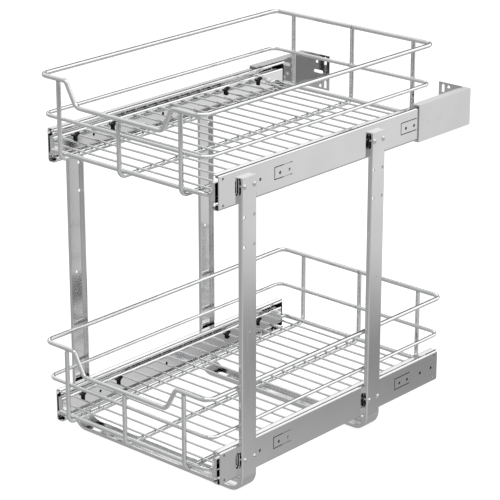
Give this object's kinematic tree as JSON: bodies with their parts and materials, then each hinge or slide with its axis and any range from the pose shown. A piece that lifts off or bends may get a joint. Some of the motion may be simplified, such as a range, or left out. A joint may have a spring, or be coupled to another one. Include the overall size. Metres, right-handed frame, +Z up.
{
  "type": "pull-out cabinet basket",
  "caption": "Tiered wire pull-out basket organizer for a base cabinet: wire baskets on full-extension ball-bearing slides, carried by U-shaped sheet-metal yokes.",
  "frame": {"origin": "on the cabinet's floor, in the middle of the part's footprint box", "axes": "+X to the right seen from the front, +Y into the cabinet, +Z up"},
  "size_m": [0.3148, 0.5274, 0.5157],
  "materials": {
    "yoke_steel": "bright zinc plate",
    "bracket_steel": "dull zinc plate",
    "slide_steel": "bright zinc plate",
    "wire_chrome": "polished chrome plate",
    "ball_steel": "polished steel",
    "cage_steel": "zinc plate",
    "screw_steel": "bright zinc plate",
    "black_plastic": "moulded, satin"
  },
  "bodies": {
    "frame": {"front_yoke": "yoke_steel", "rear_yoke": "yoke_steel", "left_rear_bracket": "bracket_steel", "right_rear_bracket": "bracket_steel", "yoke_screws": "screw_steel", "bracket_screws": "screw_steel", "slide_rear_stops": "black_plastic", "upper_left_outer_slide": "slide_steel", "upper_right_outer_slide": "slide_steel", "lower_left_outer_slide": "slide_steel", "lower_right_outer_slide": "slide_steel"},
    "upper_middle": {"upper_left_middle_slide": "slide_steel", "upper_right_middle_slide": "slide_steel", "upper_front_bumpers": "black_plastic"},
    "upper_basket": {"upper_left_inner_slide": "slide_steel", "upper_right_inner_slide": "slide_steel", "upper_wire_clips": "black_plastic", "upper_top_rim": "wire_chrome", "upper_middle_rim": "wire_chrome", "upper_left_long_wire": "wire_chrome", "upper_centre_long_wire": "wire_chrome", "upper_right_long_wire": "wire_chrome", "upper_front_end_wire": "wire_chrome", "upper_rear_end_wire": "wire_chrome", "upper_cross_wires": "wire_chrome"},
    "upper_outer_cages": {"upper_left_outer_cage": "cage_steel", "upper_right_outer_cage": "cage_steel", "upper_outer_balls": "ball_steel"},
    "upper_inner_cages": {"upper_left_inner_cage": "cage_steel", "upper_right_inner_cage": "cage_steel", "upper_inner_balls": "ball_steel"},
    "lower_middle": {"lower_left_middle_slide": "slide_steel", "lower_right_middle_slide": "slide_steel", "lower_front_bumpers": "black_plastic"},
    "lower_basket": {"lower_left_inner_slide": "slide_steel", "lower_right_inner_slide": "slide_steel", "lower_wire_clips": "black_plastic", "lower_top_rim": "wire_chrome", "lower_middle_rim": "wire_chrome", "lower_left_long_wire": "wire_chrome", "lower_centre_long_wire": "wire_chrome", "lower_right_long_wire": "wire_chrome", "lower_front_end_wire": "wire_chrome", "lower_rear_end_wire": "wire_chrome", "lower_cross_wires": "wire_chrome"},
    "lower_outer_cages": {"lower_left_outer_cage": "cage_steel", "lower_right_outer_cage": "cage_steel", "lower_outer_balls": "ball_steel"},
    "lower_inner_cages": {"lower_left_inner_cage": "cage_steel", "lower_right_inner_cage": "cage_steel", "lower_inner_balls": "ball_steel"}
  },
  "joints": [
    {"name": "upper_basket_travel", "type": "slide", "parent": "frame", "child": "upper_basket", "axis": [0, -1, 0], "range_m": [0, 0.45]},
    {"name": "upper_middle_travel", "type": "slide", "parent": "frame", "child": "upper_middle", "axis": [0, -1, 0], "range_m": [0, 0.225]},
    {"name": "upper_outer_cages_travel", "type": "slide", "parent": "frame", "child": "upper_outer_cages", "axis": [0, -1, 0], "range_m": [0, 0.1125]},
    {"name": "upper_inner_cages_travel", "type": "slide", "parent": "frame", "child": "upper_inner_cages", "axis": [0, -1, 0], "range_m": [0, 0.3375]},
    {"name": "lower_basket_travel", "type": "slide", "parent": "frame", "child": "lower_basket", "axis": [0, -1, 0], "range_m": [0, 0.45]},
    {"name": "lower_middle_travel", "type": "slide", "parent": "frame", "child": "lower_middle", "axis": [0, -1, 0], "range_m": [0, 0.225]},
    {"name": "lower_outer_cages_travel", "type": "slide", "parent": "frame", "child": "lower_outer_cages", "axis": [0, -1, 0], "range_m": [0, 0.1125]},
    {"name": "lower_inner_cages_travel", "type": "slide", "parent": "frame", "child": "lower_inner_cages", "axis": [0, -1, 0], "range_m": [0, 0.3375]}
  ],
  "couplings": [
    {"joint": "upper_middle_travel", "follows": "upper_basket_travel", "ratio": 0.5},
    {"joint": "upper_outer_cages_travel", "follows": "upper_basket_travel", "ratio": 0.25},
    {"joint": "upper_inner_cages_travel", "follows": "upper_basket_travel", "ratio": 0.75},
    {"joint": "lower_middle_travel", "follows": "lower_basket_travel", "ratio": 0.5},
    {"joint": "lower_outer_cages_travel", "follows": "lower_basket_travel", "ratio": 0.25},
    {"joint": "lower_inner_cages_travel", "follows": "lower_basket_travel", "ratio": 0.75}
  ]
}
